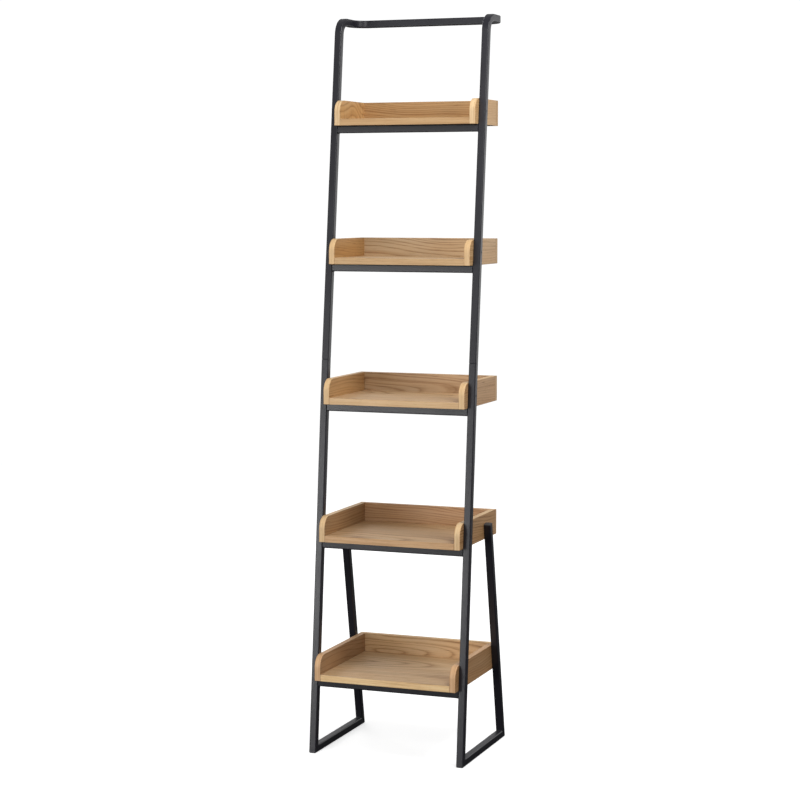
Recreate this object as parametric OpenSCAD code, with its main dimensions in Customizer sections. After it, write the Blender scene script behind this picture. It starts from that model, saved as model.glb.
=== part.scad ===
// Ladder shelf: a leaning frame of bent and welded square tube that carries five open trays.
// Millimetres. +X is right, -Y is the front and +Z is up.
// The origin is on the floor, under the middle of the shelf's bounding box.

/* [Overall] */
// Height of the whole shelf
overall_h = 1800; // [1740:5:1860]
// Width over both uprights
overall_w = 400; // [360:5:440]
// Depth on the floor, from the front of the feet to the back of the rear feet
base_depth = 328; // [318:1:340]
// Distance from the front of the feet to the plane of the tray backs and the handle
wall_depth = 305; // [296:1:312]

/* [Tube] */
// Side of the square tube
tube = 18; // [16:0.5:20]
// Wall thickness of the tube
tube_wall = 1.5; // [1.2:0.1:2]
// Outer corner radius of the tube
tube_corner = 2.5; // [2.1:0.1:3]
// Centre-line radius of every bend
bend_r = 36; // [30:1:42]

/* [Uprights and legs] */
// Backward lean of the lower half of the uprights, in degrees
lower_lean = 5.2; // [4.5:0.1:6]
// Backward lean of the upper half of the uprights, in degrees
upper_lean = 6.3; // [5.5:0.1:7]
// Height of the joint between the two halves
joint_z = 963; // [950:1:1000]
// Length of the sleeve on each side of the joint
sleeve_reach = 45; // [25:1:60]
// Forward lean of the rear legs, in degrees
rear_lean = 11; // [9:0.5:12]
// Length of a rear leg's tube along its back face
rear_leg_len = 569; // [560:1:575]

/* [Trays] */
// Height of the lowest tray's underside above the floor
first_tray_z = 182; // [170:1:190]
// Height from one tray's underside to the next
tray_pitch = 338; // [330:1:342]
// How far the middle tray sits below that spacing, to clear the joint
middle_drop = 3; // [0:0.5:6]
// Height of a tray
tray_h = 62; // [56:1:66]
// Thickness of the side and back boards
side_t = 15; // [14:0.5:18]
// Thickness of the floor boards
floor_t = 16; // [15:0.5:18]
// How far the trays stand out in front of the uprights
overhang = 24; // [20:1:30]
// Radius of the top front corner of the side boards
nose_r = 30; // [10:1:34]

/* [Fasteners] */
// Shank diameter of the screws
screw_d = 4; // [3.5:0.1:4.5]
// Head diameter of the countersunk screws
screw_head_d = 8; // [7:0.5:9]
// Depth of a screw's countersunk head
screw_head_h = 2; // [1.8:0.1:2.4]
// Depth that a screw reaches into a board
screw_grip = 11; // [8:0.5:12]
// Hole in a tube's inner wall for a screw
tube_hole_d = 4.6; // [4.6:0.1:5]
// Distance of the rail screws from the middle of the rail
rail_screw_x = 100; // [60:5:130]
// Diameter of the dowels that join the boards
dowel_d = 6; // [5:0.5:8]
// Length of the dowels
dowel_len = 30; // [24:1:34]

/* [Hidden] */
$fn = 48;
TRAYS = [1 : 5];
SIDES = ["left", "right"];
LEG_TRAYS = [4, 5];

BLACK = [0.12, 0.12, 0.13];
CAP_BLACK = [0.2, 0.2, 0.21];
STEEL = [0.55, 0.55, 0.56];
OAK = [0.76, 0.6, 0.42];
OAK_LIGHT = [0.85, 0.72, 0.53];
BEECH = [0.86, 0.74, 0.58];

// Side of the cubes that stand for a half space in a cut
room = 3 * overall_h;
bore_w = tube - 2 * tube_wall;
bore_corner = tube_corner - tube_wall;
leg_x = overall_w / 2 - tube / 2;
inner_x = overall_w / 2 - tube;
tray_half_w = inner_x;
floor_half_w = inner_x - side_t;
dowel_in_side = 10;
cap_head_h = 3;
cap_plug_len = 12;
cap_edge = 1.4;
low_leg_screw_rise = 18;
joint_screw_len = 3 * tube_wall;
// Where dowels sit, as parts of a board's depth and of its height
floor_dowel_parts = [0.28, 0.72];
back_dowel_part = 0.75;
// Extra length at an end that is then cut to an angle
spare = 2 * tube;
// Bent tube comes out this much slimmer, and the straight upright runs into it by the lap
bend_slim = 0.04;
bend_lap = 0.5;

// The lowest tray stands this far in front of the feet, which sets the depth's middle
nose_out = overhang - (first_tray_z + tray_h / 2) * tan(lower_lean);
foot_y = (nose_out - base_depth) / 2;
rear_y = foot_y + base_depth;
wall_y = foot_y + wall_depth;

// Lean and front face of the uprights at a height
function lean(z) = z < joint_z ? lower_lean : upper_lean;
function lower_y(z) = foot_y + z * tan(lower_lean);
function front_y(z) = z < joint_z ? lower_y(z) : lower_y(joint_z) + (z - joint_z) * tan(upper_lean);
function upright_mid_y(z) = front_y(z) + tube / 2 / cos(lean(z));
function rear_mid_y(z) = rear_y - z * tan(rear_lean) - tube / 2 / cos(rear_lean);

// Trays are numbered from the top
function tray_z(n) = first_tray_z + (5 - n) * tray_pitch - (n == 3 ? middle_drop : 0);
function tray_mid_z(n) = tray_z(n) + tray_h / 2;
function tray_front(n) = front_y(tray_mid_z(n)) - overhang;
function board_depth(n) = wall_y - side_t - tray_front(n);
function dowel_y(n, part) = tray_front(n) + board_depth(n) * part;
// The rear legs end behind tray 4, so their screws sit low in its side boards
function leg_screw_z(n) = n == 4 ? tray_z(n) + low_leg_screw_rise : tray_mid_z(n);

// Points where the upper frame's bends begin and end
handle_z = overall_h - tube / 2;
top_bend_z = handle_z - bend_r;
upright_rise = top_bend_z - joint_z + (bend_r + tube / 2) * sin(upper_lean);
upright_len = upright_rise / cos(upper_lean);
top_bend_y = front_y(joint_z) + (tube / 2 + bend_r) * cos(upper_lean) + upright_len * sin(upper_lean);
run_len = wall_y - tube / 2 - bend_r - top_bend_y;

// ---- Shared shapes ----

module on_side(side) {
    if (side == "left")
        mirror([1, 0, 0]) children();
    else
        children();
}

module rounded_square(side, r) {
    square([side - 2 * r, side], center = true);
    square([side, side - 2 * r], center = true);
    for (sx = [-1, 1], sy = [-1, 1])
        translate([sx, sy] * (side / 2 - r)) circle(r);
}

module tube_outline(slim = 0) {
    rounded_square(tube - slim, tube_corner - slim / 2);
}

module bore_outline(slim = 0) {
    rounded_square(bore_w + slim, bore_corner + slim / 2);
}

// All space above a plane along X through the point (y, z), tilted up by an angle
module above(y, z, angle) {
    translate([0, y, z]) rotate([angle, 0, 0]) translate([-room / 2, -room / 2, 0]) cube(room);
}

module below(y, z, angle) {
    translate([0, y, z]) rotate([angle, 0, 0]) translate([-room / 2, -room / 2, -room]) cube(room);
}

// Frames whose Z runs along a leg or upright, with Y = 0 on its centre line
module along_lower(side) {
    on_side(side) translate([leg_x, foot_y, 0]) rotate([-lower_lean, 0, 0]) translate([0, tube / 2, 0])
        children();
}

module along_upper(side) {
    on_side(side) translate([leg_x, front_y(joint_z), joint_z]) rotate([-upper_lean, 0, 0])
        translate([0, tube / 2, 0]) children();
}

module along_rear(side) {
    on_side(side) translate([leg_x, rear_y, 0]) rotate([rear_lean, 0, 0]) translate([0, -tube / 2, 0])
        children();
}

// ---- Screws, their holes and dowels, each along +Z from the outside of its head ----

module screw(len) {
    cylinder(d1 = screw_head_d, d2 = screw_d, h = screw_head_h);
    translate([0, 0, screw_head_h]) cylinder(d = screw_d, h = len - screw_head_h);
}

// Countersink in the near wall and a clear hole in the far wall of a tube
module tube_screw_hole() {
    cylinder(d1 = screw_head_d, d2 = screw_d, h = screw_head_h);
    translate([0, 0, tube_wall / 2]) cylinder(d = tube_hole_d, h = tube);
}

module at_rail_screws(n) {
    for (sx = [-1, 1])
        translate([sx * rail_screw_x, upright_mid_y(tray_z(n) - tube / 2), tray_z(n) - tube]) children();
}

module at_upright_screw(n, side) {
    on_side(side) translate([overall_w / 2, upright_mid_y(tray_mid_z(n)), tray_mid_z(n)])
        rotate([0, -90, 0]) children();
}

module at_leg_screw(n, side) {
    z = leg_screw_z(n);
    on_side(side) translate([overall_w / 2, rear_mid_y(z), z]) rotate([0, -90, 0]) children();
}

// In the back face of the front leg, halfway down the sleeve
module at_joint_screw(side) {
    along_lower(side) translate([0, tube / 2, joint_z / cos(lower_lean) - sleeve_reach / 2])
        rotate([90, 0, 0]) children();
}

module dowel() {
    cylinder(d = dowel_d, h = dowel_len);
}

// Dowels from the floor's ends into the sides, two on each side
module floor_side_dowels(n) {
    for (side = SIDES, part = floor_dowel_parts)
        on_side(side) translate([floor_half_w + dowel_in_side, dowel_y(n, part), tray_z(n) + floor_t / 2])
            rotate([0, -90, 0]) dowel();
}

// Dowels from the back board forward into the sides and the floor
module back_dowels(n) {
    for (side = SIDES) {
        on_side(side) translate([tray_half_w - side_t / 2, wall_y - side_t + dowel_in_side,
            tray_z(n) + tray_h * back_dowel_part]) rotate([90, 0, 0]) dowel();
        on_side(side) translate([tray_half_w / 2, wall_y - side_t + dowel_in_side,
            tray_z(n) + floor_t / 2]) rotate([90, 0, 0]) dowel();
    }
}

module dowels(n) {
    floor_side_dowels(n);
    back_dowels(n);
}

// ---- Frame ----

// One side of the bent tube, from the joint to the middle of the handle.
// The first child is the section of the upright, and the second that of the bent top.
module upper_half_path(side) {
    intersection() {
        on_side(side) translate([leg_x, top_bend_y, top_bend_z]) {
            rotate([-upper_lean, 0, 0]) translate([0, -bend_r, -upright_len - spare])
                linear_extrude(upright_len + spare + bend_lap) children(0);
            rotate([90, 0, 90]) rotate([0, 0, 90])
                rotate_extrude(angle = 90 - upper_lean) translate([bend_r, 0]) children(1);
            translate([0, 0, bend_r]) rotate([-90, 0, 0]) linear_extrude(run_len) children(1);
            translate([-bend_r, run_len, bend_r])
                rotate_extrude(angle = 90) translate([bend_r, 0]) children(1);
            translate([-bend_r, run_len + bend_r, bend_r]) rotate([0, -90, 0])
                linear_extrude(leg_x - bend_r) children(1);
        }
        above(0, joint_z, 0);
    }
}

module upper_path() {
    for (side = SIDES)
        upper_half_path(side) {
            children(0);
            children(1);
        }
}

module upper_frame() {
    color(BLACK) difference() {
        upper_path() {
            tube_outline();
            tube_outline(bend_slim);
        }
        upper_path() {
            bore_outline();
            bore_outline(bend_slim);
        }
        for (n = [1, 2], side = SIDES)
            at_upright_screw(n, side) tube_screw_hole();
    }
}

module sleeve_path(side) {
    intersection() {
        along_lower(side) translate([0, 0, joint_z / cos(lower_lean) - sleeve_reach])
            linear_extrude(sleeve_reach + spare) children();
        below(0, joint_z, 0);
    }
    intersection() {
        along_upper(side) translate([0, 0, -spare]) linear_extrude(sleeve_reach + spare) children();
        above(0, joint_z, 0);
    }
}

module joint_sleeve(side) {
    color(STEEL) difference() {
        sleeve_path(side) bore_outline();
        sleeve_path(side) rounded_square(bore_w - 2 * tube_wall, bore_corner);
        at_joint_screw(side) screw(joint_screw_len);
    }
}

module lower_leg_path(side) {
    intersection() {
        along_lower(side) translate([0, 0, -spare]) linear_extrude(joint_z + 2 * spare) children();
        below(0, joint_z, 0);
        above(foot_y, 0, (90 - lower_lean) / 2);
    }
}

module front_leg(side) {
    color(BLACK) difference() {
        lower_leg_path(side) tube_outline();
        lower_leg_path(side) bore_outline();
        for (n = [3, 4, 5])
            at_upright_screw(n, side) tube_screw_hole();
        at_joint_screw(side) screw(joint_screw_len);
    }
}

module base_rail_path(side) {
    intersection() {
        on_side(side) translate([leg_x, foot_y, tube / 2]) rotate([-90, 0, 0]) linear_extrude(base_depth)
            children();
        below(foot_y, 0, (90 - lower_lean) / 2);
        below(rear_y, 0, -(90 - rear_lean) / 2);
    }
}

module base_rail(side) {
    color(BLACK) difference() {
        base_rail_path(side) tube_outline();
        base_rail_path(side) bore_outline();
    }
}

module rear_leg_path(side) {
    intersection() {
        along_rear(side) translate([0, 0, -spare]) linear_extrude(rear_leg_len + spare) children();
        above(rear_y, 0, -(90 - rear_lean) / 2);
    }
}

module rear_leg(side) {
    color(BLACK) difference() {
        rear_leg_path(side) tube_outline();
        rear_leg_path(side) bore_outline();
        for (n = LEG_TRAYS)
            at_leg_screw(n, side) tube_screw_hole();
    }
}

// Plastic plug in the top of a rear leg, with a softly domed head
module leg_cap(side) {
    color(CAP_BLACK) along_rear(side) translate([0, 0, rear_leg_len]) {
        hull() {
            linear_extrude(cap_head_h - cap_edge) tube_outline();
            linear_extrude(cap_head_h) rounded_square(tube - 2 * cap_edge, tube_corner);
        }
        translate([0, 0, -cap_plug_len]) linear_extrude(cap_plug_len) bore_outline();
    }
}

module cross_rail(n) {
    color(BLACK) difference() {
        translate([-inner_x, upright_mid_y(tray_z(n) - tube / 2), tray_z(n) - tube / 2]) rotate([0, 90, 0])
            difference() {
                linear_extrude(2 * inner_x) tube_outline();
                translate([0, 0, -spare]) linear_extrude(2 * (inner_x + spare)) bore_outline();
            }
        at_rail_screws(n) tube_screw_hole();
    }
}

// ---- Trays ----

module tray_floor(n) {
    color(OAK) difference() {
        translate([-floor_half_w, tray_front(n), tray_z(n)])
            cube([2 * floor_half_w, board_depth(n), floor_t]);
        at_rail_screws(n) cylinder(d = screw_d, h = tube + screw_grip);
        dowels(n);
    }
}

module tray_back(n) {
    color(OAK) difference() {
        translate([-tray_half_w, wall_y - side_t, tray_z(n)]) cube([2 * tray_half_w, side_t, tray_h]);
        back_dowels(n);
    }
}

// Side board in its own plane: front edge at X = 0, underside at Y = 0
module side_outline(depth) {
    square([depth, tray_h - nose_r]);
    translate([nose_r, 0]) square([depth - nose_r, tray_h]);
    translate([nose_r, tray_h - nose_r]) circle(nose_r);
}

module tray_side(n, side) {
    color(OAK_LIGHT) difference() {
        on_side(side) translate([floor_half_w, tray_front(n), tray_z(n)]) rotate([90, 0, 90])
            linear_extrude(side_t) side_outline(board_depth(n));
        at_upright_screw(n, side) cylinder(d = screw_d, h = tube + screw_grip);
        if (n > 3)
            at_leg_screw(n, side) cylinder(d = screw_d, h = tube + screw_grip);
        dowels(n);
    }
}

// ---- Fastener groups ----

module rail_screws() {
    color(STEEL) for (n = TRAYS)
        at_rail_screws(n) screw(tube + screw_grip);
}

module upright_screws() {
    color(BLACK) for (n = TRAYS, side = SIDES)
        at_upright_screw(n, side) screw(tube + screw_grip);
}

module rear_leg_screws() {
    color(BLACK) for (n = LEG_TRAYS, side = SIDES)
        at_leg_screw(n, side) screw(tube + screw_grip);
}

module joint_screws() {
    color(BLACK) for (side = SIDES)
        at_joint_screw(side) screw(joint_screw_len);
}

module tray_dowels() {
    color(BEECH) for (n = TRAYS)
        dowels(n);
}

// ---- Selection ----

upper_frame();
for (s = SIDES) {
    joint_sleeve(s);
    front_leg(s);
    base_rail(s);
    rear_leg(s);
    leg_cap(s);
}
for (n = TRAYS) {
    cross_rail(n);
    tray_floor(n);
    tray_back(n);
    for (s = SIDES)
        tray_side(n, s);
}
rail_screws();
upright_screws();
rear_leg_screws();
joint_screws();
tray_dowels();
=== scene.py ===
"""Ladder shelf: visual pieces, materials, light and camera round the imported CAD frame. Metres."""

import math

import bmesh
import bpy
from mathutils import Matrix, Vector


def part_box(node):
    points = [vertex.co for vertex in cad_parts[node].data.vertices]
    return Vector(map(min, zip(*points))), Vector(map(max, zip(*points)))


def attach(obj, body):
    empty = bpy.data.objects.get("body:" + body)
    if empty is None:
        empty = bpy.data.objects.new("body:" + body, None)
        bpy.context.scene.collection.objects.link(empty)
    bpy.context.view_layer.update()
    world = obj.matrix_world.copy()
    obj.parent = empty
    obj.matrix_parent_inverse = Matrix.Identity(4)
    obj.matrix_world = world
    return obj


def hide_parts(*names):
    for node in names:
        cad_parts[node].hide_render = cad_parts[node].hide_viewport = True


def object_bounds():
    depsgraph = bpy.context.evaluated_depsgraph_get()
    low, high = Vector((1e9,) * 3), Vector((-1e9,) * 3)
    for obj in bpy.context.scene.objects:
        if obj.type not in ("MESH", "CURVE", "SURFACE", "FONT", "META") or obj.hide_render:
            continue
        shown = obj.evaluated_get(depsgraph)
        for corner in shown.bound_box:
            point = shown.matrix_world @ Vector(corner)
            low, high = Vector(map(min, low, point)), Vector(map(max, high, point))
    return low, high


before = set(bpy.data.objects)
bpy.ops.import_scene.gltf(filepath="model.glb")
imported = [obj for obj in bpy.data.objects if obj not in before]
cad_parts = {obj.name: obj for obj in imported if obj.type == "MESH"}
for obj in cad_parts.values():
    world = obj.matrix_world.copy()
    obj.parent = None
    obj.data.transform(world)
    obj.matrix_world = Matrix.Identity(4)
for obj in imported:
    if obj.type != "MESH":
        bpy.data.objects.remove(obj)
cad_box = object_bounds()

MM = 0.001
X_AXIS = Vector((1, 0, 0))
Y_AXIS = Vector((0, 1, 0))
Z_AXIS = Vector((0, 0, 1))
SIDES = {"left": -1, "right": 1}

# Trays are numbered from the top. These are screwed to the upper frame, front legs and rear legs
TRAYS = range(1, 6)
UPPER_TRAYS = (1, 2)
FRONT_LEG_TRAYS = (3, 4, 5)
REAR_LEG_TRAYS = (4, 5)

# ---- Sizes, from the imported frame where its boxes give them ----

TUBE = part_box("left_base_rail")[1].z
HALF_W = cad_box[1].x
LEG_X = HALF_W - TUBE / 2
FOOT_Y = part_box("left_base_rail")[0].y
REAR_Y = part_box("left_base_rail")[1].y
JOINT_Y, JOINT_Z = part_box("upper_frame")[0].yz
WALL_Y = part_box("upper_frame")[1].y
TOP_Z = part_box("upper_frame")[1].z

LOWER_LEAN = math.atan2(JOINT_Y - FOOT_Y, JOINT_Z)
UPPER_LEAN = math.radians(6.3)
REAR_LEAN = math.radians(11)
REAR_LEG_LENGTH = 569 * MM
BEND_R = 36 * MM
CORNER_R = 2.5 * MM
NOSE_R = 30 * MM

CORNER_STEPS = 6
BEND_STEPS = 18
NOSE_STEPS = 20
END_CHAMFER = 0.75 * MM
BOARD_EDGE_R = 0.7 * MM
SMOOTH_LIMIT = math.radians(40)
BEVEL_LIMIT = math.radians(50)

HEAD_R = 4 * MM
HEAD_SINK = 0.15 * MM
HEAD_CONE = 2 * MM
SHANK_R = 2 * MM
RECESS_R = 1.5 * MM
RECESS_DEPTH = 1.2 * MM
SCREW_STEPS = 24
SCREW_LENGTH = 29 * MM
SEAT_STEPS = 32
JOINT_SCREW_LENGTH = 4.5 * MM
RAIL_SCREW_X = 100 * MM
LOW_LEG_SCREW_RISE = 18 * MM
JOINT_SCREW_DROP = 22.5 * MM

# A leg cap's outline from its foot to its middle: how far inside the tube's, and how high, in mm
CAP_PROFILE = (
    (0.35, 0.0), (0.1, 0.2), (0.1, 1.3), (0.35, 1.9), (0.9, 2.4), (2.0, 2.7), (4.5, 2.92), (7.5, 3.0),
)
CAP_CORNER_R = 1.2 * MM

BEAD_R = 1.25 * MM
BEAD_RIPPLE = 0.12
BEAD_RIPPLE_PITCH = 1.7 * MM
BEAD_STEPS = 28
BEAD_SIDES = 10
BEAD_END_GAP = 1.5 * MM

# ---- Looks ----

CAMERA_PLACE = (1.8012, -4.7949, 1.35)
CAMERA_YAW = math.radians(20.819)
CAMERA_DIP = math.radians(4.889)
CAMERA_LENS = 94.17
CAMERA_SENSOR = 36
CAMERA_SHIFT = -0.025

# Each light's place, target, size and power in watts
LIGHTS = {
    "front_strip": ((-3.1, -4.8, 0.58), (0, 0, 0.7), (3.6, 1.1), 83),
    "front_low": ((-2.7, -4.2, 0.16), (0, 0, 0.1), (3.2, 0.28), 16),
    "front_top": ((0.4, -3.6, 2.7), (0, 0, 0.9), (1.6, 1.2), 37),
    "right_top": ((1.3, -0.7, 2.6), (0, 0, 1.5), (0.8, 0.8), 27),
    "back_wide": ((0.9, 5.0, 1.3), (0, 0, 0.9), (4.2, 1.8), 21),
    "back_fill": ((-2.6, 3.0, 2.4), (0, 0, 0.9), (1.6, 1.6), 30),
}
BACKDROP_LIGHT = 1.05
# The sky's strength goes through the range SKY_LIGHT as the z of a direction goes through SKY_RISE
SKY_RISE = (-0.24, -0.02)
SKY_LIGHT = (0.02, 0.54)
FLOOR_GLOW = 0.63
FLOOR_RADIUS = 6
FLOOR_STEPS = 96
FLOOR_DROP = 0.5 * MM

# How far one seed unit moves a wood pattern
VENEER_SPREAD = (0.731, 0.297, 0.513)
BAND_SPREAD = (0.37, 0.61, 0.83)
# A board's seed is its tray's number times TRAY_SEED, plus its own
BOARD_SEEDS = {"floor": 0.0, "back": 1.3, "left": 2.1, "right": 2.9}
TRAY_SEED = 3.7

# Each board's veneer: its grain axes, growth ring spacing, pith offset across and below the face,
# slope along the grain, tint and, where it isn't 1, strength. The edge bands have a tint only.
# The left side boards' tints are darker than the right boards' and darkest on the lowest trays: painted
# shade from inside the trays, carried on both faces of each left board.
VENEER = {
    1: {
        "floor": ("xyz", 6 * MM, (-0.04, 0.16), 0.04, (1.0, 1.0, 1.0)),
        "back": ("xzy", 5 * MM, (1.25, 0.3), 0.03, (0.73, 0.63, 0.48), 0.9),
        "left": ("zyx", 6.5 * MM, (0.05, 0.03), 0.4, (0.84, 0.75, 0.58), 0.9),
        "right": ("yzx", 6 * MM, (1.3, 0.09), 0.02, (1.0, 0.92, 0.78), 0.4),
        "front_edge": (0.76, 0.69, 0.61),
        "side_edge": (1.0, 1.03, 1.08),
    },
    2: {
        "floor": ("xyz", 6 * MM, (0.13, 0.2), 0.05, (1.0, 1.0, 1.0)),
        "back": ("xzy", 6.5 * MM, (1.17, 0.05), 0.06, (0.84, 0.87, 0.92)),
        "left": ("yzx", 7 * MM, (1.1, 0.08), 0.03, (0.74, 0.61, 0.42), 0.5),
        "right": ("yzx", 7 * MM, (1.0, 0.12), 0.03, (1.0, 0.93, 0.82), 0.6),
        "front_edge": (0.82, 0.78, 0.74),
        "side_edge": (1.0, 1.0, 1.0),
    },
    3: {
        "floor": ("xyz", 7 * MM, (0.06, 0.21), 0.06, (1.0, 0.98, 0.97)),
        "back": ("xzy", 8 * MM, (0.87, 0.03), 0.14, (0.74, 0.72, 0.73)),
        "left": ("yzx", 8 * MM, (0.74, 0.06), 0.03, (0.83, 0.72, 0.56), 0.65),
        "right": ("yzx", 6 * MM, (1.32, 0.09), 0.02, (1.0, 0.88, 0.78), 0.5),
        "front_edge": (0.96, 0.95, 0.97),
        "side_edge": (1.0, 1.0, 1.0),
    },
    4: {
        "floor": ("xyz", 7 * MM, (-0.12, 0.18), 0.05, (0.82, 0.77, 0.72)),
        "back": ("xzy", 5.5 * MM, (0.44, 0.07), 0.03, (0.73, 0.63, 0.58)),
        "left": ("yzx", 7 * MM, (0.3, 0.13), 0.03, (0.64, 0.55, 0.46), 0.75),
        "right": ("yzx", 6 * MM, (0.3, 0.1), 0.04, (0.88, 0.75, 0.62)),
        "front_edge": (0.86, 0.79, 0.79),
        "side_edge": (1.0, 1.02, 1.05),
    },
    5: {
        "floor": ("xyz", 8 * MM, (0.02, 0.13), 0.07, (0.94, 0.92, 0.9)),
        "back": ("xzy", 8.5 * MM, (0.2, 0.014), 0.13, (0.98, 0.96, 0.93)),
        "left": ("yzx", 7.5 * MM, (0.0, 0.15), 0.03, (0.63, 0.54, 0.48), 0.8),
        "right": ("yzx", 7 * MM, (0.0, 0.1), 0.04, (0.88, 0.74, 0.62), 0.6),
        "front_edge": (1.18, 1.21, 1.2),
        "side_edge": (0.94, 0.86, 0.88),
    },
}


# ---- Materials ----

class Graph:
    """A material's node tree, built one node at a time."""

    def __init__(self, name):
        self.material = bpy.data.materials.new(name)
        self.material.use_nodes = True
        self.tree = self.material.node_tree
        self.tree.nodes.clear()

    def add(self, kind, inputs=None, **settings):
        """A node of this kind. inputs maps socket names or numbers to values or other nodes' outputs."""
        node = self.tree.nodes.new("ShaderNode" + kind)
        for key, value in settings.items():
            setattr(node, key, value)
        for key, value in (inputs or {}).items():
            if isinstance(value, bpy.types.NodeSocket):
                self.tree.links.new(value, node.inputs[key])
            else:
                node.inputs[key].default_value = value
        return node

    def math(self, operation, a, b=0.0, c=0.0, clamp=False):
        return self.add("Math", {0: a, 1: b, 2: c}, operation=operation, use_clamp=clamp).outputs[0]

    def total(self, terms, offset=0.0, clamp=False):
        """The offset plus weight * (factor - middle) for each (factor, middle, weight) term."""
        result = offset - sum(middle * weight for _, middle, weight in terms)
        last = len(terms) - 1
        for i, (factor, _, weight) in enumerate(terms):
            result = self.math("MULTIPLY_ADD", factor, weight, result, clamp=clamp and i == last)
        return result

    def place(self):
        """Where a point is in the frame's own space."""
        return self.add("TexCoord").outputs["Object"]

    def noise(self, vector, scale, detail=4.0, roughness=0.55):
        inputs = {"Vector": vector, "Scale": scale, "Detail": detail, "Roughness": roughness}
        return self.add("TexNoise", inputs).outputs["Fac"]

    def scaled(self, vector, scale, offset=(0, 0, 0)):
        return self.add("Mapping", {"Vector": vector, "Scale": scale, "Location": offset}).outputs[0]

    def stretched(self, vector, scale, detail=4.0, roughness=0.55):
        """Noise with its own scale on each axis."""
        return self.noise(self.scaled(vector, scale), 1.0, detail, roughness)

    def ramp(self, factor, stops):
        node = self.add("ValToRGB", {"Fac": factor})
        elements = node.color_ramp.elements
        while len(elements) < len(stops):
            elements.new(0.5)
        for element, (place, color) in zip(elements, stops):
            element.position = place
            element.color = (*color, 1)
        return node.outputs["Color"]

    def level(self, factor, low, high, new_low=0.0, new_high=1.0):
        """Stretches the part of a factor between low and high over a new range."""
        node = self.add("MapRange", {"Value": factor, "From Min": low, "From Max": high})
        node.inputs["To Min"].default_value = new_low
        node.inputs["To Max"].default_value = new_high
        return node.outputs["Result"]

    def curve(self, factor, points):
        """A factor passed through a curve with these points."""
        node = self.add("FloatCurve", {"Value": factor})
        line = node.mapping.curves[0].points
        for spot, point in ((line[0], points[0]), (line[-1], points[-1])):
            spot.location = point
        for x, y in points[1:-1]:
            line.new(x, y)
        node.mapping.update()
        return node.outputs[0]

    def multiply(self, a, b):
        """Two colours multiplied."""
        return self.mix(1.0, a, b, "MULTIPLY")

    def mix(self, factor, a, b, blend="MIX"):
        node = self.add("Mix", {0: factor, 6: a, 7: b}, data_type="RGBA", blend_type=blend)
        return node.outputs[2]

    def finish(self, shader_inputs, height, bump_strength, bump_distance):
        """Ends the tree with a shader that a height bumps. Returns the material."""
        bump = self.add("Bump", {"Height": height, "Strength": bump_strength, "Distance": bump_distance})
        shader = self.add("BsdfPrincipled", {**shader_inputs, "Normal": bump.outputs["Normal"]})
        output = self.add("OutputMaterial")
        self.tree.links.new(shader.outputs["BSDF"], output.inputs["Surface"])
        return self.material


def powder_coat():
    """Black satin powder coat: a fine orange peel with faint clouds in its tone and gloss."""
    g = Graph("powder_coat")
    place = g.place()
    cloud = g.noise(place, scale=9.0, detail=3.0)
    peel = g.noise(place, scale=650.0, detail=2.0, roughness=0.4)
    grit = g.noise(place, scale=2400.0, detail=1.0)
    color = g.ramp(cloud, [(0.3, (0.0112, 0.0108, 0.0158)), (0.7, (0.0152, 0.0148, 0.0205))])
    rough = g.level(g.total([(cloud, 0, 0.6), (peel, 0, 0.4)]), 0.3, 0.7, 0.29, 0.37)
    height = g.total([(peel, 0, 0.75), (grit, 0, 0.25)])
    return g.finish({"Base Color": color, "Roughness": rough, "IOR": 1.46}, height, 0.1, 0.12 * MM)


def moulded_plastic():
    """Black plastic with a fine spark-eroded texture."""
    g = Graph("moulded_plastic")
    place = g.place()
    spark = g.noise(place, scale=1800.0, detail=3.0, roughness=0.7)
    cloud = g.noise(place, scale=60.0, detail=2.0)
    color = g.ramp(cloud, [(0.3, (0.05, 0.05, 0.052)), (0.7, (0.066, 0.066, 0.068))])
    rough = g.level(spark, 0, 1, 0.42, 0.6)
    return g.finish({"Base Color": color, "Roughness": rough, "IOR": 1.46}, spark, 0.25, 0.08 * MM)


def screw_steel(name, dark, light, metallic):
    """Screw metal with a fine mottled tone and a few scuffs."""
    g = Graph(name)
    scuff = g.noise(g.place(), scale=900.0, detail=5.0, roughness=0.7)
    tone = g.ramp(scuff, [(0.35, dark), (0.7, light)])
    rough = g.level(scuff, 0, 1, 0.28, 0.5)
    return g.finish({"Base Color": tone, "Roughness": rough, "Metallic": metallic}, scuff, 0.15, 0.05 * MM)


def drawn_steel():
    """Plain drawn steel with scratches along the tube."""
    g = Graph("drawn_steel")
    scratch = g.stretched(g.place(), (900, 900, 12), detail=5.0)
    tone = g.ramp(scratch, [(0.3, (0.36, 0.36, 0.37)), (0.7, (0.52, 0.52, 0.53))])
    rough = g.level(scratch, 0, 1, 0.3, 0.5)
    return g.finish({"Base Color": tone, "Roughness": rough, "Metallic": 1.0}, scratch, 0.1, 0.05 * MM)


def beech():
    """Plain beech with short flecks along the grain."""
    g = Graph("beech")
    fleck = g.stretched(g.place(), (220, 220, 1500))
    tone = g.ramp(fleck, [(0.35, (0.52, 0.33, 0.18)), (0.65, (0.68, 0.47, 0.29))])
    return g.finish({"Base Color": tone, "Roughness": 0.6}, fleck, 0.15, 0.1 * MM)


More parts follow.
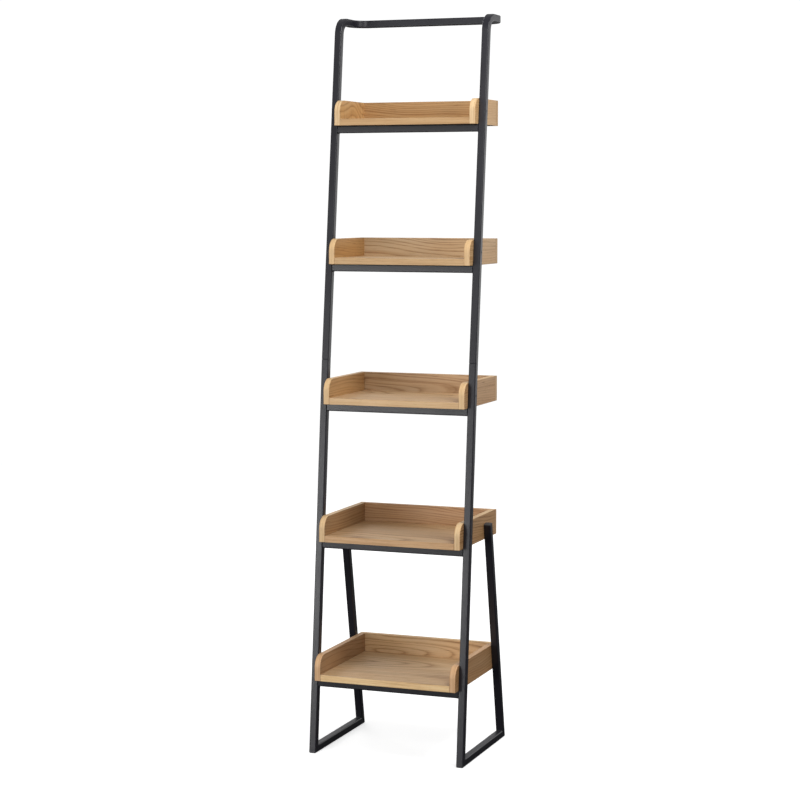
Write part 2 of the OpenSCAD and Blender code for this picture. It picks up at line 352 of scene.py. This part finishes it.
def growth_rings(g, along, cross, moved, ring_gap, pith, slope):
    """From 0 to 1, how dark the early wood of the growth rings is at a point."""
    bend = g.stretched(moved, (2.6, 9, 9), detail=1.0)
    ripple = g.stretched(moved, (10, 50, 50), detail=2.0)
    wander = g.total([(bend, 0.5, 0.045), (ripple, 0.5, 0.002)])
    pith_across, pith_below = pith
    across = g.math("ADD", wander, g.math("SUBTRACT", cross, pith_across))
    below = g.total([(along, 0, slope), (wander, 0, 0.6)], offset=pith_below)
    squares = g.math("MULTIPLY_ADD", across, across, g.math("MULTIPLY", below, below))
    radius = g.math("SQRT", squares)
    uneven_place = g.add("CombineXYZ", {0: g.math("MULTIPLY", radius, 55.0)}).outputs[0]
    uneven = g.noise(uneven_place, scale=1.0, detail=2.0)
    turns = g.total([(radius, 0, 1 / ring_gap), (uneven, 0, 3.0)])
    # A ring starts with dark open early wood and fades to dense late wood
    fade = [(0, 0.95), (0.14, 0.62), (0.38, 0.2), (0.7, 0.12), (0.88, 0.4), (1, 0.8)]
    return g.curve(g.math("FRACT", turns), fade)


def oak_veneer(name, seed, axes, ring_gap, pith, slope, tint, strength=1.0):
    """Oak veneer in the frame's own space.

    axes names the axes along the grain, across it in the face and through the board. The growth
    rings are nested round a pith line: pith is its place across the face and its depth below it,
    and slope tilts it along the grain, so a near pith gives arches and a far one straight lines.
    strength is how strongly the rings and streaks show.
    """
    g = Graph(name)
    parts = g.add("SeparateXYZ", {0: g.place()}).outputs
    along, cross, through = (parts["xyz".index(axis)] for axis in axes)
    turned = g.add("CombineXYZ", {0: along, 1: cross, 2: through}).outputs[0]
    moved = g.scaled(turned, (1, 1, 1), tuple(seed * spread for spread in VENEER_SPREAD))
    early = growth_rings(g, along, cross, moved, ring_gap, pith, slope)

    streak = g.stretched(moved, (6, 430, 430), roughness=0.7)
    fibre = g.stretched(moved, (40, 2600, 2600), detail=2.0, roughness=0.5)
    pore = g.level(g.stretched(moved, (75, 1500, 1500), detail=1.0), 0.60, 0.70)
    pore = g.math("MULTIPLY", pore, g.total([(early, 0, 0.9)], offset=0.15), clamp=True)
    patch = g.stretched(moved, (4, 26, 26), detail=3.0)
    fleck = g.level(g.stretched(moved, (17, 130, 130), detail=1.0), 0.68, 0.78)

    dark = g.total([
        (early, 0.35, 0.86 * strength),
        (streak, 0.5, 1.6 * strength),
        (patch, 0.5, 0.55),
        (fleck, 0, 0.45),
        (fibre, 0.5, 0.22),
    ], offset=0.23, clamp=True)
    tone = g.ramp(dark, [
        (0.0, (0.66, 0.455, 0.262)),
        (0.3, (0.575, 0.375, 0.2)),
        (0.62, (0.44, 0.262, 0.128)),
        (1.0, (0.27, 0.142, 0.062)),
    ])
    drift = g.stretched(moved, (6, 34, 34), detail=1.0)
    tone = g.multiply(tone, g.ramp(drift, [(0.35, (1.0, 0.965, 0.90)), (0.65, (0.985, 1.0, 1.0))]))
    # On the left side boards this tint also darkens the wood as painted shade from inside the tray.
    tone = g.multiply(tone, (*tint, 1))
    tone = g.mix(g.math("MULTIPLY", pore, 0.55), tone, (0.16, 0.085, 0.04, 1))
    rough = g.level(g.total([(streak, 0, 0.5), (pore, 0, 0.5)]), 0.15, 0.8, 0.44, 0.62)
    height = g.total([(fibre, 0, 0.3), (pore, 0, -0.7)])
    return g.finish({"Base Color": tone, "Roughness": rough, "IOR": 1.42}, height, 0.3, 0.1 * MM)


def oak_edge(name, across, seed, tint):
    """Pale oak edge band whose stripes run along it. across names the axes that cross the stripes."""
    g = Graph(name)
    moved = g.scaled(g.place(), (1, 1, 1), tuple(seed * spread for spread in BAND_SPREAD))

    def streaks(fine, coarse, detail, roughness=0.55):
        scale = tuple(fine if axis in across else coarse for axis in "xyz")
        return g.stretched(moved, scale, detail, roughness)

    stripe = g.level(streaks(330, 7, 3.0, 0.6), 0.3, 0.75)
    thread = streaks(1700, 30, 2.0)
    patch = streaks(60, 12, 2.0)
    pore = g.level(streaks(1500, 70, 1.0), 0.62, 0.7)
    dark = g.total([(stripe, 0, 0.75), (thread, 0, 0.22), (patch, 0.5, 0.4)], clamp=True)
    tone = g.ramp(dark, [
        (0.1, (0.80, 0.565, 0.31)),
        (0.5, (0.71, 0.465, 0.235)),
        (0.95, (0.50, 0.295, 0.13)),
    ])
    tone = g.multiply(tone, (*tint, 1))
    tone = g.mix(g.math("MULTIPLY", pore, 0.35), tone, (0.25, 0.145, 0.07, 1))
    rough = g.level(thread, 0, 1, 0.42, 0.6)
    height = g.total([(thread, 0, 0.4), (pore, 0, -0.6)])
    return g.finish({"Base Color": tone, "Roughness": rough, "IOR": 1.42}, height, 0.3, 0.1 * MM)


# ---- Mesh building ----

def add_piece(name, bm, materials, replaced=()):
    """Turns a bmesh into a piece that rides on the frame, shaded smooth up to the limit angle."""
    bmesh.ops.recalc_face_normals(bm, faces=bm.faces)
    for face in bm.faces:
        face.smooth = True
    for edge in bm.edges:
        edge.smooth = len(edge.link_faces) == 2 and edge.calc_face_angle(0) < SMOOTH_LIMIT
    mesh = bpy.data.meshes.new(name)
    bm.to_mesh(mesh)
    bm.free()
    for material in materials:
        mesh.materials.append(material)
    piece = bpy.data.objects.new(name, mesh)
    bpy.context.scene.collection.objects.link(piece)
    normals = piece.modifiers.new("flat_faces", "WEIGHTED_NORMAL")
    normals.keep_sharp = True
    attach(piece, "root")
    if replaced:
        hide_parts(*replaced)
    return piece


def outline(side, radius):
    """A rounded square's corners as (u, v) points."""
    inner = side / 2 - radius
    points = []
    for quarter in range(4):
        u, v = ((1, 1), (-1, 1), (-1, -1), (1, -1))[quarter]
        for step in range(CORNER_STEPS + 1):
            turn = (quarter + step / CORNER_STEPS) * math.pi / 2
            points.append((u * inner + radius * math.cos(turn), v * inner + radius * math.sin(turn)))
    return points


def ring(centre, u_axis, v_axis, inset=0.0):
    """The tube's outline round a centre, made smaller all round by an inset."""
    return [centre + u_axis * u + v_axis * v for u, v in outline(TUBE - 2 * inset, CORNER_R - inset)]


def onto_plane(points, along, plane):
    """Slides points along a direction onto a plane, given as (a point on it, its normal)."""
    point, normal = plane
    return [p + along * ((point - p).dot(normal) / along.dot(normal)) for p in points]


def chamfered_end(centre, u_axis, v_axis, along, plane):
    """The rim and the full outline of a tube's end on a plane whose normal points out of the tube."""
    point, normal = plane
    rim = onto_plane(ring(centre, u_axis, v_axis, END_CHAMFER), along, plane)
    full = onto_plane(ring(centre, u_axis, v_axis), along, (point - normal * END_CHAMFER, normal))
    return rim, full


def skin(bm, rings):
    """Joins rings of points into a closed tube in a bmesh."""
    rows = [[bm.verts.new(p) for p in points] for points in rings]
    count = len(rows[0])
    for low, high in zip(rows, rows[1:]):
        for i in range(count):
            j = (i + 1) % count
            bm.faces.new((low[i], low[j], high[j], high[i]))
    bm.faces.new(rows[0])
    bm.faces.new(rows[-1])


def cut_seats(bm, places):
    """Cuts a shallow round screw seat into a tube's bmesh at each (point, direction into the tube)."""
    cutter_bm = bmesh.new()
    for point, inward in places:
        turn = inward.to_track_quat("Z", "Y").to_matrix().to_4x4()
        bmesh.ops.create_cone(
            cutter_bm, cap_ends=True, segments=SEAT_STEPS, radius1=HEAD_R, radius2=HEAD_R,
            depth=2 * HEAD_CONE, matrix=Matrix.Translation(point) @ turn,
        )
    pair = []
    for shape in (bm, cutter_bm):
        bmesh.ops.recalc_face_normals(shape, faces=shape.faces)
        mesh = bpy.data.meshes.new("seat_work")
        shape.to_mesh(mesh)
        shape.free()
        thing = bpy.data.objects.new("seat_work", mesh)
        bpy.context.scene.collection.objects.link(thing)
        pair.append(thing)
    tube, cutter = pair
    cut = tube.modifiers.new("seats", "BOOLEAN")
    cut.object = cutter
    cut.operation = "DIFFERENCE"
    cut.solver = "EXACT"
    evaluated = tube.evaluated_get(bpy.context.evaluated_depsgraph_get())
    result = bmesh.new()
    result.from_mesh(evaluated.to_mesh())
    evaluated.to_mesh_clear()
    for thing in pair:
        bpy.data.objects.remove(thing)
    return result


def straight_tube(node, centre, along, v_axis, start_plane, end_plane, seats=()):
    """A tube between two planes, with screw seats. It stands for its CAD node."""
    u_axis = v_axis.cross(along)
    rim_a, full_a = chamfered_end(centre, u_axis, v_axis, along, start_plane)
    rim_b, full_b = chamfered_end(centre, u_axis, v_axis, along, end_plane)
    bm = bmesh.new()
    skin(bm, [rim_a, full_a, full_b, rim_b])
    if seats:
        bm = cut_seats(bm, seats)
    return add_piece(node + "_tube", bm, [POWDER], [node])


def leaning(lean):
    """(along, across) directions of a leg that leans back by an angle."""
    return Vector((0, math.sin(lean), math.cos(lean))), Vector((0, math.cos(lean), -math.sin(lean)))


def front_mid_y(z):
    """The uprights' centre line at a height."""
    lean = LOWER_LEAN if z < JOINT_Z else UPPER_LEAN
    return JOINT_Y + (z - JOINT_Z) * math.tan(lean) + TUBE / 2 / math.cos(lean)


def rear_mid_y(z):
    return REAR_Y - z * math.tan(REAR_LEAN) - TUBE / 2 / math.cos(REAR_LEAN)


def mitre_normal(angle):
    return Vector((0, -math.sin(angle), math.cos(angle)))


FRONT_MITRE = mitre_normal((math.pi / 2 - LOWER_LEAN) / 2)
REAR_MITRE = mitre_normal(-(math.pi / 2 - REAR_LEAN) / 2)


def front_leg(side, seats):
    x = SIDES[side] * LEG_X
    along, across = leaning(LOWER_LEAN)
    foot = Vector((x, FOOT_Y, 0))
    return straight_tube(side + "_front_leg", foot + across * TUBE / 2, along, across,
                         (foot, -FRONT_MITRE), (Vector((x, 0, JOINT_Z)), Z_AXIS), seats)


def base_rail(side):
    x = SIDES[side] * LEG_X
    return straight_tube(side + "_base_rail", Vector((x, 0, TUBE / 2)), Y_AXIS, -Z_AXIS,
                         (Vector((x, FOOT_Y, 0)), FRONT_MITRE), (Vector((x, REAR_Y, 0)), REAR_MITRE))


def rear_leg(side, seats):
    x = SIDES[side] * LEG_X
    along, across = leaning(-REAR_LEAN)
    foot = Vector((x, REAR_Y, 0))
    return straight_tube(side + "_rear_leg", foot - across * TUBE / 2, along, across,
                         (foot, -REAR_MITRE), (foot + along * REAR_LEG_LENGTH, along), seats)


def cross_rail(n, seats):
    low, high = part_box(f"cross_rail_{n}")
    middle = (low + high) / 2
    return straight_tube(f"cross_rail_{n}", middle, X_AXIS, Y_AXIS, (low, -X_AXIS), (high, X_AXIS), seats)


def arc(centre, arm, axis, angle):
    """Points and turns along an arc: an arm swung about an axis, as (point, rotation) pairs."""
    for step in range(1, BEND_STEPS + 1):
        turn = Matrix.Rotation(angle * step / BEND_STEPS, 3, axis)
        yield centre + turn @ arm, turn


def upper_frame(seats):
    """The bent upper tube: both uprights, two bends each, and the handle."""
    along, across = leaning(UPPER_LEAN)
    handle_z = TOP_Z - TUBE / 2
    handle_y = WALL_Y - TUBE / 2
    base = Vector((LEG_X, JOINT_Y, JOINT_Z)) + across * TUBE / 2
    bend_z = handle_z - BEND_R
    # The first bend's centre lies one bend radius behind the upright's centre line
    reach = (bend_z + BEND_R * math.sin(UPPER_LEAN) - base.z) / along.z
    bend_start = base + along * reach
    bend_centre = bend_start + across * BEND_R
    half = list(chamfered_end(base, X_AXIS, across, along, (Z_AXIS * JOINT_Z, -Z_AXIS)))
    half.append(ring(bend_start, X_AXIS, across))
    for point, turn in arc(bend_centre, -across * BEND_R, -X_AXIS, math.pi / 2 - UPPER_LEAN):
        half.append(ring(point, X_AXIS, turn @ across))
    corner_centre = Vector((LEG_X - BEND_R, handle_y - BEND_R, handle_z))
    half.append(ring(Vector((LEG_X, corner_centre.y, handle_z)), X_AXIS, -Z_AXIS))
    for point, turn in arc(corner_centre, X_AXIS * BEND_R, Z_AXIS, math.pi / 2):
        half.append(ring(point, turn @ X_AXIS, -Z_AXIS))
    mirrored = [[Vector((-p.x, p.y, p.z)) for p in points] for points in reversed(half)]
    bm = bmesh.new()
    skin(bm, half + mirrored)
    bm = cut_seats(bm, seats)
    return add_piece("upper_frame_tube", bm, [POWDER], ["upper_frame"])


# ---- Boards ----

def bevel_board(bm):
    sharp = [e for e in bm.edges if e.calc_face_angle(0) > BEVEL_LIMIT]
    bmesh.ops.bevel(
        bm, geom=sharp, offset=BOARD_EDGE_R, segments=2, profile=0.5, affect="EDGES", clamp_overlap=True,
    )


def flat_board(node, face_normal, face_material, edge_material):
    """A board in its CAD node's box, with veneer on the two broad faces and band on the rest."""
    low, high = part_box(node)
    size = high - low
    bm = bmesh.new()
    shape = Matrix.Translation((low + high) / 2) @ Matrix.Diagonal((*size, 1))
    bmesh.ops.create_cube(bm, size=1.0, matrix=shape)
    bm.normal_update()
    for face in bm.faces:
        is_broad = abs(face.normal.dot(face_normal)) > 0.5
        face.material_index = 0 if is_broad else 1
    bevel_board(bm)
    return add_piece(node + "_board", bm, [face_material, edge_material], [node])


def side_board(node, face_material, edge_material):
    """A side board with its quarter-round top front corner."""
    low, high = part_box(node)
    points = [(low.y, low.z)]
    for step in range(NOSE_STEPS + 1):
        turn = math.pi - step / NOSE_STEPS * math.pi / 2
        y = low.y + NOSE_R * (1 + math.cos(turn))
        z = high.z - NOSE_R * (1 - math.sin(turn))
        points.append((y, z))
    points += [(high.y, high.z), (high.y, low.z)]
    bm = bmesh.new()
    near = [bm.verts.new((low.x, y, z)) for y, z in points]
    far = [bm.verts.new((high.x, y, z)) for y, z in points]
    bm.faces.new(near)
    bm.faces.new(far)
    for i in range(len(points)):
        j = (i + 1) % len(points)
        bm.faces.new((near[i], near[j], far[j], far[i])).material_index = 1
    bmesh.ops.recalc_face_normals(bm, faces=bm.faces)
    bevel_board(bm)
    return add_piece(node + "_board", bm, [face_material, edge_material], [node])


# ---- Screws, caps and welds ----

def add_screw(bm, head, inward, length):
    """A countersunk screw with a hexagonal recess, its head just below the surface at head."""
    turn = inward.to_track_quat("Z", "Y").to_matrix().to_4x4()
    place = Matrix.Translation(head) @ turn

    def screw_ring(radius, depth, hexagonal=False):
        """A ring of points round the screw, where a hexagon's radius is that of its corners."""
        points = []
        for step in range(SCREW_STEPS):
            angle = step / SCREW_STEPS * 2 * math.pi
            reach = radius
            if hexagonal:
                reach = radius * math.cos(math.pi / 6) / math.cos(angle % (math.pi / 3) - math.pi / 6)
            points.append(place @ Vector((reach * math.cos(angle), reach * math.sin(angle), depth)))
        return points

    skin(bm, [
        # The recess, from its floor to its rim
        screw_ring(RECESS_R, HEAD_SINK + RECESS_DEPTH, hexagonal=True),
        screw_ring(RECESS_R, HEAD_SINK + 0.1 * MM, hexagonal=True),
        screw_ring(RECESS_R + 0.15 * MM, HEAD_SINK, hexagonal=True),
        # The head's top, rounded edge and cone
        screw_ring(HEAD_R - 0.3 * MM, HEAD_SINK),
        screw_ring(HEAD_R - 0.08 * MM, HEAD_SINK + 0.15 * MM),
        screw_ring(SHANK_R, HEAD_CONE),
        # The shank and its point
        screw_ring(SHANK_R, length - SHANK_R),
        screw_ring(SHANK_R / 4, length),
    ])


def screw_group(node, material, places, length):
    bm = bmesh.new()
    for head, inward in places:
        add_screw(bm, head, inward, length)
    return add_piece(node + "_set", bm, [material], [node])


def leg_cap(side):
    """The plastic plug's head: a soft dome with rounded edges on top of a rear leg."""
    along, across = leaning(-REAR_LEAN)
    top = Vector((SIDES[side] * LEG_X, REAR_Y, 0)) - across * TUBE / 2 + along * REAR_LEG_LENGTH
    bm = bmesh.new()
    rings = []
    for inset, rise in CAP_PROFILE:
        side_length = TUBE - 2 * inset * MM
        radius = min(max(CORNER_R - inset * MM, CAP_CORNER_R), side_length / 2 - 0.1 * MM)
        centre = top + along * rise * MM
        rings.append([centre + X_AXIS * u + across * v for u, v in outline(side_length, radius)])
    skin(bm, rings)
    return add_piece(side + "_leg_cap_dome", bm, [PLASTIC], [side + "_leg_cap"])


def add_weld(bm, start, end, out):
    """A rippled bead along an inside corner, from start to end, bulging towards out."""
    length = (end - start).length
    along = (end - start).normalized()
    other = along.cross(out)
    rings = []
    for step in range(BEAD_STEPS + 1):
        t = step / BEAD_STEPS
        ripple = BEAD_RIPPLE * math.sin(t * length / BEAD_RIPPLE_PITCH * 2 * math.pi)
        # The bead thins to a quarter at its ends
        taper = min(1.0, 5 * min(t, 1 - t) + 0.25)
        radius = BEAD_R * (1 + ripple) * taper
        centre = start + along * length * t
        turns = [2 * math.pi * k / BEAD_SIDES for k in range(BEAD_SIDES)]
        rings.append([centre + (out * math.cos(a) + other * math.sin(a)) * radius for a in turns])
    skin(bm, rings)


def weld_beads():
    """Beads under each cross rail's ends and in the corners of the two side frames."""
    bm = bmesh.new()
    half = TUBE / 2 - BEAD_END_GAP
    front_y = front_mid_y(TUBE) + TUBE / 2 / math.cos(LOWER_LEAN)
    rear_y = rear_mid_y(TUBE) - TUBE / 2 / math.cos(REAR_LEAN)
    for sign in SIDES.values():
        for n in TRAYS:
            low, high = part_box(f"cross_rail_{n}")
            corner = Vector((sign * high.x, (low.y + high.y) / 2, low.z))
            out = Vector((-sign, 0, -1)).normalized()
            add_weld(bm, corner - Y_AXIS * half, corner + Y_AXIS * half, out)
        for y, out_y in ((front_y, 1), (rear_y, -1)):
            corner = Vector((sign * LEG_X, y, TUBE))
            out = Vector((0, out_y, 1)).normalized()
            add_weld(bm, corner - X_AXIS * half, corner + X_AXIS * half, out)
    return add_piece("weld_beads", bm, [POWDER])


def rail_screw_places(n):
    low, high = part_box(f"cross_rail_{n}")
    y = (low.y + high.y) / 2
    return [(Vector((sign * RAIL_SCREW_X, y, low.z)), Z_AXIS) for sign in SIDES.values()]


def upright_screw_place(n, sign):
    low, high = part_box(f"tray_{n}_back")
    z = (low.z + high.z) / 2
    return Vector((sign * HALF_W, front_mid_y(z), z)), -sign * X_AXIS


def rear_leg_screw_place(n, sign):
    """The rear legs end beside their upper tray, so their screws sit low in its side boards."""
    low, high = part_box(f"tray_{n}_back")
    z = low.z + LOW_LEG_SCREW_RISE if n == REAR_LEG_TRAYS[0] else (low.z + high.z) / 2
    return Vector((sign * HALF_W, rear_mid_y(z), z)), -sign * X_AXIS


def joint_screw_place(sign):
    along, across = leaning(LOWER_LEAN)
    height = JOINT_Z / math.cos(LOWER_LEAN) - JOINT_SCREW_DROP
    return Vector((sign * LEG_X, FOOT_Y, 0)) + along * height + across * TUBE, -across


def build_frame():
    upper_frame([upright_screw_place(n, sign) for n in UPPER_TRAYS for sign in SIDES.values()])
    for side, sign in SIDES.items():
        tray_screws = [upright_screw_place(n, sign) for n in FRONT_LEG_TRAYS]
        front_leg(side, tray_screws + [joint_screw_place(sign)])
        base_rail(side)
        rear_leg(side, [rear_leg_screw_place(n, sign) for n in REAR_LEG_TRAYS])
        leg_cap(side)
    for n in TRAYS:
        cross_rail(n, rail_screw_places(n))
    weld_beads()


def build_screws():
    signs = SIDES.values()
    rail_places = [place for n in TRAYS for place in rail_screw_places(n)]
    upright_places = [upright_screw_place(n, sign) for n in TRAYS for sign in signs]
    leg_places = [rear_leg_screw_place(n, sign) for n in REAR_LEG_TRAYS for sign in signs]
    joint_places = [joint_screw_place(sign) for sign in signs]
    screw_group("rail_screws", ZINC_SCREW, rail_places, SCREW_LENGTH)
    screw_group("upright_screws", BLACK_SCREW, upright_places, SCREW_LENGTH)
    screw_group("rear_leg_screws", BLACK_SCREW, leg_places, SCREW_LENGTH)
    screw_group("joint_screws", BLACK_SCREW, joint_places, JOINT_SCREW_LENGTH)


def build_tray(n):
    looks = VENEER[n]
    front_band = oak_edge(f"tray_{n}_band", "yz", TRAY_SEED * n, looks["front_edge"])
    for board, face_normal in (("floor", Z_AXIS), ("back", Y_AXIS)):
        seed = TRAY_SEED * n + BOARD_SEEDS[board]
        veneer = oak_veneer(f"tray_{n}_{board}_veneer", seed, *looks[board])
        flat_board(f"tray_{n}_{board}", face_normal, veneer, front_band)
    for side in SIDES:
        seed = TRAY_SEED * n + BOARD_SEEDS[side]
        veneer = oak_veneer(f"tray_{n}_{side}_veneer", seed, *looks[side])
        band = oak_edge(f"tray_{n}_{side}_band", "x", seed, looks["side_edge"])
        side_board(f"tray_{n}_{side}_side", veneer, band)


def finish_hidden_nodes():
    """The sleeves and dowels inside other pieces keep their CAD shape and get a finish."""
    finishes = {"left_joint_sleeve": STEEL, "right_joint_sleeve": STEEL, "tray_dowels": BEECH}
    for node, material in finishes.items():
        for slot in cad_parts[node].material_slots:
            slot.material = material


# ---- Stage ----

def add_floor():
    g = Graph("studio_floor")
    place = g.place()
    tone = g.ramp(g.noise(place, 3.0), [(0.3, (0.80, 0.80, 0.80)), (0.7, (0.82, 0.82, 0.82))])
    inputs = {
        "Base Color": tone,
        "Roughness": 0.8,
        "Emission Color": (1, 1, 1, 1),
        "Emission Strength": FLOOR_GLOW,
    }
    material = g.finish(inputs, g.noise(place, 400.0), 0.02, 0.1 * MM)
    bm = bmesh.new()
    centre = Matrix.Translation((0, 0, -FLOOR_DROP))
    bmesh.ops.create_circle(bm, cap_ends=True, segments=FLOOR_STEPS, radius=FLOOR_RADIUS, matrix=centre)
    mesh = bpy.data.meshes.new("studio_floor")
    bm.to_mesh(mesh)
    bm.free()
    mesh.materials.append(material)
    floor = bpy.data.objects.new("studio_floor", mesh)
    bpy.context.scene.collection.objects.link(floor)
    # The shelf neither mirrors the bright floor nor is lit by it
    floor.visible_glossy = False
    floor.visible_diffuse = False


def aim(thing, place, target):
    thing.location = place
    thing.rotation_euler = (Vector(target) - Vector(place)).to_track_quat("-Z", "Y").to_euler()


def add_light(name, place, target, size, power):
    data = bpy.data.lights.new(name, "AREA")
    data.shape = "RECTANGLE"
    data.size, data.size_y = size
    data.energy = power
    light = bpy.data.objects.new(name, data)
    light.visible_camera = False
    bpy.context.scene.collection.objects.link(light)
    aim(light, place, target)


def add_world():
    """White behind everything. As light it is a soft grey sky over a dark lower half."""
    world = bpy.data.worlds.new("studio")
    bpy.context.scene.world = world
    world.use_nodes = True
    tree = world.node_tree
    tree.nodes.clear()
    direction = tree.nodes.new("ShaderNodeTexCoord")
    parts = tree.nodes.new("ShaderNodeSeparateXYZ")
    sky = tree.nodes.new("ShaderNodeMapRange")
    sky.interpolation_type = "SMOOTHSTEP"
    sky.inputs["From Min"].default_value, sky.inputs["From Max"].default_value = SKY_RISE
    sky.inputs["To Min"].default_value, sky.inputs["To Max"].default_value = SKY_LIGHT
    lit = tree.nodes.new("ShaderNodeBackground")
    seen = tree.nodes.new("ShaderNodeBackground")
    seen.inputs["Color"].default_value = (1, 1, 1, 1)
    seen.inputs["Strength"].default_value = BACKDROP_LIGHT
    rays = tree.nodes.new("ShaderNodeLightPath")
    mix = tree.nodes.new("ShaderNodeMixShader")
    output = tree.nodes.new("ShaderNodeOutputWorld")
    for start, end in (
        (direction.outputs["Generated"], parts.inputs[0]),
        (parts.outputs["Z"], sky.inputs["Value"]),
        (sky.outputs["Result"], lit.inputs["Strength"]),
        (rays.outputs["Is Camera Ray"], mix.inputs[0]),
        (lit.outputs[0], mix.inputs[1]),
        (seen.outputs[0], mix.inputs[2]),
        (mix.outputs[0], output.inputs["Surface"]),
    ):
        tree.links.new(start, end)


def add_camera():
    data = bpy.data.cameras.new("camera")
    data.lens = CAMERA_LENS
    data.sensor_width = CAMERA_SENSOR
    data.shift_y = CAMERA_SHIFT
    camera = bpy.data.objects.new("camera", data)
    bpy.context.scene.collection.objects.link(camera)
    camera.location = CAMERA_PLACE
    camera.rotation_euler = (math.pi / 2 - CAMERA_DIP, 0, CAMERA_YAW)
    bpy.context.scene.camera = camera


# ---- Build ----

POWDER = powder_coat()
PLASTIC = moulded_plastic()
BLACK_SCREW = screw_steel("black_screw", (0.02, 0.02, 0.022), (0.045, 0.045, 0.048), 0.3)
ZINC_SCREW = screw_steel("zinc_screw", (0.5, 0.5, 0.48), (0.68, 0.67, 0.64), 1.0)
STEEL = drawn_steel()
BEECH = beech()

build_frame()
build_screws()
for tray in TRAYS:
    build_tray(tray)
finish_hidden_nodes()
add_floor()
add_world()
for name, settings in LIGHTS.items():
    add_light(name, *settings)
add_camera()

bpy.context.scene.view_settings.view_transform = "Standard"
